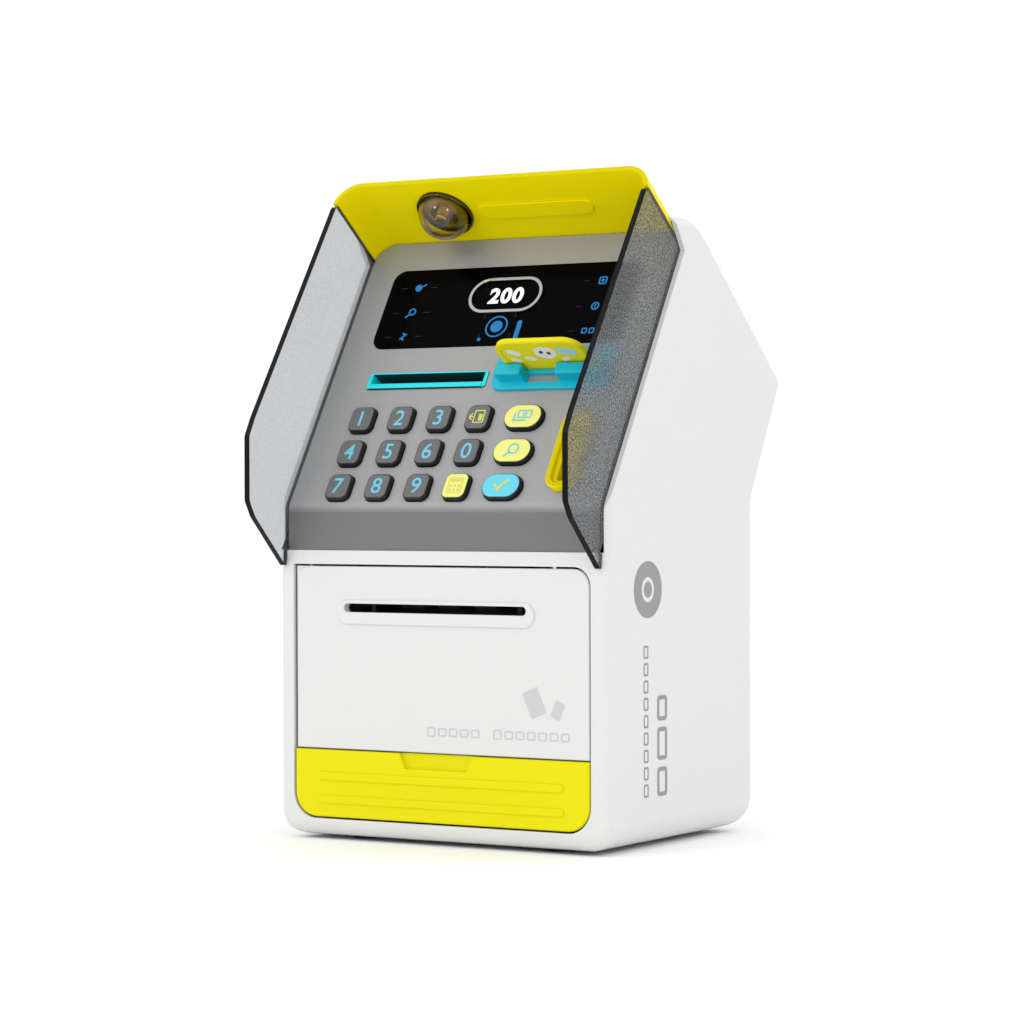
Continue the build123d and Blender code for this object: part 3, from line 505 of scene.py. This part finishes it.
def add_screen():
    window = Relief(at(0, -19.15, SCREEN_OFF), X, V)
    window.bar(0, 0, 31.8, 14.2, radius=7.1)
    window.finish("display_window", "chassis", SLOT_LOOKS["black_window"])
    lettering("display_digits", "200", 10.0, at(0, -19.0, SCREEN_OFF + 0.1), X, V, "chassis",
              INKS["screen_white"], weight=0.38, spacing=1.12)
    face = Relief(at(0, 0, SCREEN_OFF), X, V)
    face.ring(0, -34.2, 5.2, 4.5)
    face.disc(0, -34.2, 2.8)
    face.bar(10.7, -36.0, 2.2, 9.0, radius=1.0)
    face.disc(-6.6, -40.3, 0.8)
    dim = Relief(at(0, 0, SCREEN_OFF), X, V)
    for side in (-1, 1):
        dim.bar(side * 7.4, -28.9, 0.5, 2.0)
        dim.bar(side * 6.0, -27.6, 2.2, 0.5)
        dim.bar(side * 7.4, -38.6, 0.5, 2.0)
    tops, middles, ends = (-13.3, -25.8, -37.7), (-44.5, 44.0), 7.5
    for v in tops:
        for x in middles:
            dim.bar(x - ends, v, 3.2, 0.3)
            dim.bar(x + ends, v, 3.2, 0.3)
    dim.finish("display_ticks", "chassis", INKS["screen_dim"])
    left, right = middles
    face.disc(left - 0.3, tops[0], 1.7)
    face.bar(left + 2.3, tops[0] + 1.2, 2.0, 0.7, 30)
    face.frame(right, tops[0], 3.8, 3.8, 0.6, 0.8)
    face.disc(right, tops[0], 0.8)
    face.ring(left + 0.5, tops[1] + 0.4, 1.8, 1.1)
    face.bar(left - 1.5, tops[1] - 1.6, 2.2, 0.7, 45)
    face.ring(right, tops[1], 1.9, 1.25)
    face.bar(right, tops[1], 0.6, 1.8, radius=0.2)
    face.bar(left, tops[2], 4.0, 0.8, 45)
    face.bar(left, tops[2] + 1.25, 0.8, 1.6, 45, radius=0.2)
    face.bar(left, tops[2] - 1.25, 0.8, 1.6, 45, radius=0.2)
    face.frame(right - 1.6, tops[2], 2.6, 2.8, 0.6, 0.7)
    face.frame(right + 1.8, tops[2], 2.6, 2.8, 0.6, 0.7)
    face.finish("display_icons", "chassis", INKS["screen_blue"])


# ---- prints on the shell, door and card -------------------------------------------
def add_side_prints():
    for name, side in (("right", 1), ("left", -1)):
        face_x = CAD_HIGH.x + SKIN if side > 0 else CAD_LOW.x - SKIN
        mark = Relief(Vector((face_x, 0, 0)), Vector((0, side, 0)), UP)
        mark.ring(-29.7 * side, 102.5, 11.2, 5.0)
        mark.disc(-29.7 * side, 102.5, 3.2)
        for z, length in ((26.5, 11.5), (41.5, 13.0), (55.5, 10.0)):
            mark.frame(-18.4 * side, z, 8.0, length, 1.7, 1.8)
        for i in range(9):
            mark.frame(-31.4 * side, 23.6 + 6.8 * i, 3.8, 5.2, 0.8, 0.9)
        mark.finish(f"side_print_{name}", "chassis", INKS["grey_print"])


def add_door_prints():
    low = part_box("cash_door")[0]
    slot_lip = 0.9 * MM
    mark = Relief(Vector((0, low.y + slot_lip - 2 * SKIN, 0)), X, UP)
    mark.bar(44.6, 58.8, 7.2, 10.8, 24)
    mark.bar(55.2, 56.2, 4.4, 6.8, -24)
    for i in range(13):
        if i != 5:
            mark.frame(-3.2 + 5.15 * i, 45.8, 3.9, 3.4 if i not in (0, 6) else 4.0, 0.6, 0.8)
    mark.finish("door_print", "door", INKS["pale_print"])


CARD_X, CARD_V = 34.0, -56.0


def add_card_print():
    face = at(CARD_X, CARD_V) - V * SKIN
    rim = Relief(face, X, N)
    rim.thick = 0.35 * MM
    rim.frame(0, -5.5, 39.6, 51.0, 2.0, 7.4)
    rim.finish("card_rim", "card", SLOT_LOOKS["drawer_yellow"])
    art = Relief(face, X, N)
    art.bar(-12.4, 13.0, 6.4, 3.0, -28, radius=1.5)
    art.bar(-13.6, 7.6, 4.6, 2.2, -28, radius=1.1)
    art.bar(-6.4, 8.6, 5.2, 2.2, -20, radius=1.1)
    art.disc(2.0, 12.4, 4.8, 0.86)
    art.bar(9.4, 7.6, 4.0, 2.0, 25, radius=1.0)
    art.finish("card_art", "card", INKS["white_print"])
    label = Relief(face, X, N)
    label.bar(12.0, 13.0, 8.6, 4.2, -16, radius=1.2)
    label.finish("card_label", "card", INKS["blue_print"])
    dots = Relief(face - V * 10 * SKIN, X, N)
    dots.disc(0.4, 13.0, 0.9)
    dots.disc(3.6, 12.2, 0.9)
    dots.finish("card_dots", "card", INKS["dark_ink"])


add_camera()
add_studio()
dress_nodes()
add_keypad()
add_screen()
add_side_prints()
add_door_prints()
add_card_print()
